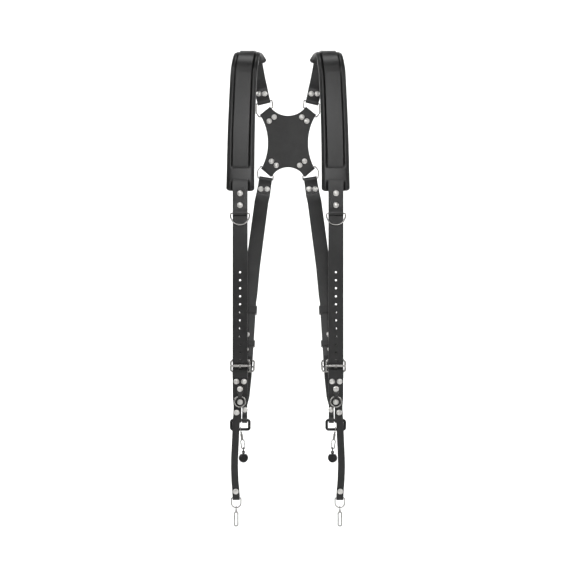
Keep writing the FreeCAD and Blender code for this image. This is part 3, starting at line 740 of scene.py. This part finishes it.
    def build(self) -> Any:
        """Makes the pad and hides its CAD solid.

        Returns:
            The pad.
        """
        node = "shoulder_pad_" + self.side
        piece = new_piece(node + "_padding", self.shell())
        piece.data.materials.append(Paint.of(Finish.PAD))
        self.puff(piece)
        finer = piece.modifiers.new("finer", "SUBSURF")
        finer.levels = finer.render_levels = 1
        settle(piece)
        smooth(piece.data, 60)
        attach(piece, "harness")
        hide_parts(node)
        LOG.info("%s: %d faces", piece.name, len(piece.data.polygons))
        return piece


# ---------------------------------------------------------------- rivets
@dataclass
class Rivet:
    """Where one rivet sits: the seat of its cap, the seat of its foot and the way its cap faces."""

    cap: Vector
    foot: Vector
    facing: Vector


@dataclass
class RivetRow:
    """The rivets of one CAD node, each a domed cap with a rolled rim and a dimple, and a washer foot."""

    node: str
    cap_radius: float = 0.006
    cap_rise: float = 0.0023
    foot_radius: float = 0.0045
    foot_rise: float = 0.0012
    turns: int = 40
    seats: list[Rivet] = field(default_factory=list)

    def find(self) -> None:
        """Reads each rivet's place from its own CAD solid."""
        shape = welded_copy(self.node)
        shape.verts.ensure_lookup_table()
        seen: set[int] = set()
        for vertex in shape.verts:
            if vertex.index in seen:
                continue
            island, queue = [], [vertex]
            seen.add(vertex.index)
            while queue:
                at = queue.pop()
                island.append(at)
                for edge in at.link_edges:
                    other = edge.other_vert(at)
                    if other.index not in seen:
                        seen.add(other.index)
                        queue.append(other)
            self.seats.append(self.read(island))
        shape.free()

    def read(self, island: list[Any]) -> Rivet:
        """One rivet's place.

        Args:
            island: the vertices of its solid.

        Returns:
            The rivet.
        """
        faces = {face for vertex in island for face in vertex.link_faces}
        totals: dict[tuple[int, int, int], list[Any]] = {}
        for face in faces:
            key = tuple(round(value * 50) for value in face.normal)
            totals.setdefault(key, [0.0, face.normal.copy()])[0] += face.calc_area()
        axis = max(totals.values(), key=lambda item: item[0])[1].normalized()
        points = np.array([vertex.co[:] for vertex in island])
        lowest, highest = points.min(0), points.max(0)
        middle = (lowest + highest) / 2
        heights = (points - middle) @ np.array(axis)
        away = np.linalg.norm((points - middle) - np.outer(heights, np.array(axis)), axis=1)
        wide = heights[away > self.cap_radius * 0.95]
        facing = axis if wide.mean() > (heights.min() + heights.max()) / 2 else -axis
        if facing is not axis:
            heights, wide = -heights, -wide
        centre = Vector(middle)
        foot = heights.min() + self.foot_rise
        return Rivet(centre + facing * float(wide.min()), centre + facing * float(foot), facing)

    def turned(self, name: str, profile: list[tuple[float, float]]) -> Any:
        """A turned button about +Z.

        Args:
            name: its name.
            profile: radius and height from the middle out, in metres.

        Returns:
            Its object.
        """
        shape = bmesh.new()
        tip = shape.verts.new((0, 0, profile[0][1]))
        rings = []
        for radius, height in profile[1:]:
            ring = []
            for turn in range(self.turns):
                angle = 2 * math.pi * turn / self.turns
                spot = (radius * math.cos(angle), radius * math.sin(angle), height)
                ring.append(shape.verts.new(spot))
            rings.append(ring)
        for turn in range(self.turns):
            after = (turn + 1) % self.turns
            shape.faces.new((tip, rings[0][turn], rings[0][after]))
            for inner, outer in zip(rings, rings[1:]):
                shape.faces.new((inner[turn], outer[turn], outer[after], inner[after]))
        shape.faces.new(rings[-1][::-1])
        bmesh.ops.recalc_face_normals(shape, faces=shape.faces)
        mesh = finish_mesh(shape, name)
        smooth(mesh, 50)
        return new_piece(name, mesh)

    def cap_profile(self) -> list[tuple[float, float]]:
        """Draws the cap: a dimple in a low dome, a groove and a rolled rim.

        Returns:
            Radius and height from the middle out.
        """
        r, h = self.cap_radius, self.cap_rise
        profile = [(0.0, h * 0.78), (r * 0.1, h * 0.8), (r * 0.17, h * 0.96), (r * 0.24, h)]
        for share in (0.36, 0.48, 0.6, 0.7, 0.78):
            profile.append((r * share, h * (1 - 0.55 * share**2.4)))
        profile += [(r * 0.83, h * 0.5), (r * 0.87, h * 0.38), (r * 0.92, h * 0.42), (r * 0.97, h * 0.36)]
        profile += [(r, h * 0.22), (r, 0.0)]
        return profile

    def foot_profile(self) -> list[tuple[float, float]]:
        """Draws the foot, a flat washer with a burred middle.

        Returns:
            Radius and height from the middle out.
        """
        r, h = self.foot_radius, self.foot_rise
        burr = [(0.0, h * 0.6), (r * 0.3, h * 0.6), (r * 0.42, h)]
        return burr + [(r * 0.8, h * 0.95), (r, h * 0.5), (r, 0.0)]

    def planted(
        self, name: str, button: Any, points: list[Vector], ways: list[Vector], size: float
    ) -> Any:
        """Sets one button on each seat with Geometry Nodes.

        Args:
            name: the result's name.
            button: the turned button.
            points: the seats.
            ways: the way each button faces.
            size: the buttons' size, as a share of the drawn one.

        Returns:
            The result, a plain mesh.
        """
        mesh = bpy.data.meshes.new(name)
        mesh.from_pydata([point[:] for point in points], [], [])
        facing = mesh.attributes.new("facing", "FLOAT_VECTOR", "POINT")
        for item, way in zip(facing.data, ways):
            item.vector = way
        piece = new_piece(name, mesh)
        tree = bpy.data.node_groups.new(name + "_seats", "GeometryNodeTree")
        face = tree.interface
        face.new_socket("Seats", in_out="INPUT", socket_type="NodeSocketGeometry")
        button_socket = face.new_socket("Button", in_out="INPUT", socket_type="NodeSocketObject")
        size_socket = face.new_socket("Size", in_out="INPUT", socket_type="NodeSocketFloat")
        finish_socket = face.new_socket("Finish", in_out="INPUT", socket_type="NodeSocketMaterial")
        face.new_socket("Rivets", in_out="OUTPUT", socket_type="NodeSocketGeometry")
        start, end = tree.nodes.new("NodeGroupInput"), tree.nodes.new("NodeGroupOutput")
        named = tree.nodes.new("GeometryNodeInputNamedAttribute")
        named.data_type = "FLOAT_VECTOR"
        named.inputs["Name"].default_value = "facing"
        turn = tree.nodes.new("FunctionNodeAlignRotationToVector")
        turn.axis = "Z"
        info = tree.nodes.new("GeometryNodeObjectInfo")
        plant = tree.nodes.new("GeometryNodeInstanceOnPoints")
        real = tree.nodes.new("GeometryNodeRealizeInstances")
        paint = tree.nodes.new("GeometryNodeSetMaterial")
        link = tree.links.new
        link(start.outputs["Seats"], plant.inputs["Points"])
        link(start.outputs["Button"], info.inputs["Object"])
        link(info.outputs["Geometry"], plant.inputs["Instance"])
        link(named.outputs["Attribute"], turn.inputs["Vector"])
        link(turn.outputs["Rotation"], plant.inputs["Rotation"])
        link(start.outputs["Size"], plant.inputs["Scale"])
        link(plant.outputs["Instances"], real.inputs["Geometry"])
        link(real.outputs["Geometry"], paint.inputs["Geometry"])
        link(start.outputs["Finish"], paint.inputs["Material"])
        link(paint.outputs["Geometry"], end.inputs["Rivets"])
        maker = piece.modifiers.new("seats", "NODES")
        maker.node_group = tree
        maker[button_socket.identifier] = button
        maker[size_socket.identifier] = size
        maker[finish_socket.identifier] = Paint.of(Finish.RIVET)
        settle(piece)
        return piece

    def build(self) -> Any:
        """Makes the caps and feet and hides the CAD solids.

        Returns:
            The caps.
        """
        self.find()
        caps = self.turned("cap_button", self.cap_profile())
        feet = self.turned("foot_button", self.foot_profile())
        body = body_of_node(self.node)
        cap_points = [seat.cap for seat in self.seats]
        foot_points = [seat.foot for seat in self.seats]
        fronts = [seat.facing for seat in self.seats]
        piece = self.planted(self.node + "_caps", caps, cap_points, fronts, 1.0)
        washers = self.planted(self.node + "_feet", feet, foot_points, [-way for way in fronts], 1.0)
        for made in (piece, washers):
            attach(made, body)
        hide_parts(self.node)
        for button in (caps, feet):
            bpy.data.objects.remove(button)
        LOG.info("%s: %d rivets", self.node, len(self.seats))
        return piece


# ---------------------------------------------------------------- hardware
@dataclass
class Hardware:
    """The wire rings, buckles, hooks and clips, which keep their CAD shapes."""

    nodes: dict[str, Any]

    def dress(self) -> None:
        """Gives each shown CAD node its finish."""
        for name, node in self.nodes.items():
            if node.hide_render:
                continue
            slot = slot_of_node(name)
            node.data.materials.clear()
            node.data.materials.append(Paint.of(SLOT_FINISH[slot]))


# ---------------------------------------------------------------- studio
@dataclass
class Studio:
    """A pale floor and wall, soft lights and the camera in front of the harness."""

    eye: tuple[float, float, float] = (0.0, -1.96, -0.508)
    lens: float = 55.75
    floor_z: float = -1.06
    half: float = 8.0
    front: float = -7.0
    back: float = 3.0
    top: float = 6.0
    bend: float = 1.5
    bend_steps: int = 12

    def camera(self) -> None:
        """The camera, level and square on to the front."""
        data = bpy.data.cameras.new("camera")
        data.lens = self.lens
        data.sensor_width = 36.0
        camera = bpy.data.objects.new("camera", data)
        bpy.context.scene.collection.objects.link(camera)
        camera.location = self.eye
        camera.rotation_euler = (math.radians(90), 0, 0)
        bpy.context.scene.camera = camera

    def lamp(
        self, name: str, place: Sequence[float], target: Sequence[float], size: float, power: float
    ) -> None:
        """A square soft light.

        Args:
            name: its name.
            place: where it is.
            target: what it faces.
            size: its side in metres.
            power: its power in watts.
        """
        data = bpy.data.lights.new(name, "AREA")
        data.shape = "SQUARE"
        data.size = size
        data.energy = power
        lamp = bpy.data.objects.new(name, data)
        bpy.context.scene.collection.objects.link(lamp)
        lamp.location = place
        lamp.rotation_euler = (Vector(target) - Vector(place)).to_track_quat("-Z", "Y").to_euler()

    def sweep(self) -> None:
        """The paper floor, which curves up into a wall behind the harness and behind the camera."""
        shape = bmesh.new()
        angles = [math.radians(90 * step / self.bend_steps) for step in range(1, self.bend_steps + 1)]
        curve = [(self.bend * math.sin(a), self.floor_z + self.bend * (1 - math.cos(a))) for a in angles]
        near = [(self.front - out, height) for out, height in curve]
        far = [(self.back - self.bend + out, height) for out, height in curve]
        flat = [(self.front, self.floor_z), (self.back - self.bend, self.floor_z)]
        profile = [(near[-1][0], self.top)] + near[::-1] + flat + far + [(self.back, self.top)]
        rows = [[shape.verts.new((x, y, z)) for x in (-self.half, self.half)] for y, z in profile]
        for low, high in zip(rows, rows[1:]):
            shape.faces.new((low[0], low[1], high[1], high[0]))
        mesh = finish_mesh(shape, "paper_sweep")
        smooth(mesh, 60)
        floor = new_piece("paper_sweep", mesh)
        shader = ShaderTree("paper")
        fleck = shader.noise(3.0)
        shader.dress(
            Base_Color=shader.mix(fleck, grey(0.86), grey(0.9)), Roughness=fleck * 0.05 + 0.85
        )
        mesh.materials.append(shader.material)

    def build(self) -> None:
        """Sets the studio up."""
        self.camera()
        self.sweep()
        world = bpy.data.worlds.new("studio")
        world.use_nodes = True
        world.node_tree.nodes["Background"].inputs[0].default_value = (1, 1, 1, 1)
        world.node_tree.nodes["Background"].inputs[1].default_value = 0.1
        bpy.context.scene.world = world
        self.lamp("key", (-1.3, -2.0, 1.1), (0, 0, -0.35), 0.7, 12)
        self.lamp("fill", (1.7, -1.9, 0.5), (0, 0, -0.5), 0.8, 6)
        self.lamp("top", (0.0, -0.3, 1.5), (0, 0, -0.3), 0.8, 7)
        self.lamp("band", (0.0, -2.05, 0.16), (0, 0, -0.2), 0.3, 6)
        self.lamp("low_band", (0.5, -2.1, -0.75), (0, 0, -0.7), 0.25, 1.5)
        self.lamp("near_floor", (0.0, -4.2, 2.6), (0, -4.2, -1.0), 3.0, 40)
        self.lamp("left_floor", (-4.5, -0.5, 2.6), (-4.5, -0.5, -1.0), 3.0, 50)
        self.lamp("right_floor", (4.5, -0.5, 2.6), (4.5, -0.5, -1.0), 3.0, 50)
        self.lamp("wall_left", (-2.2, 0.6, 0.6), (0, 3.0, -0.5), 1.6, 85)
        self.lamp("wall_right", (2.2, 0.6, 0.6), (0, 3.0, -0.5), 1.6, 85)
        bpy.context.scene.view_settings.view_transform = "Standard"


def main() -> None:
    """Builds the harness over its CAD frame."""
    logging.basicConfig(level=logging.INFO, format="%(message)s")
    Studio().build()
    paired = ["shoulder_strap", "chest_tab", "hip_tab", "ring_loop", "tether", "rear_strap", "rear_billet"]
    keepers = ["fixed_keeper", "sliding_keeper"]
    for side in SIDES:
        ShoulderPad(side).build()
        for base in paired + keepers:
            CutLeather(base + "_" + side).build()
        RivetRow("tether_rivet_" + side).build()
    CutLeather("back_plate").build()
    RivetRow("cap_rivets").build()
    Hardware(frame["nodes"]).dress()


if __name__ == "__main__":
    main()
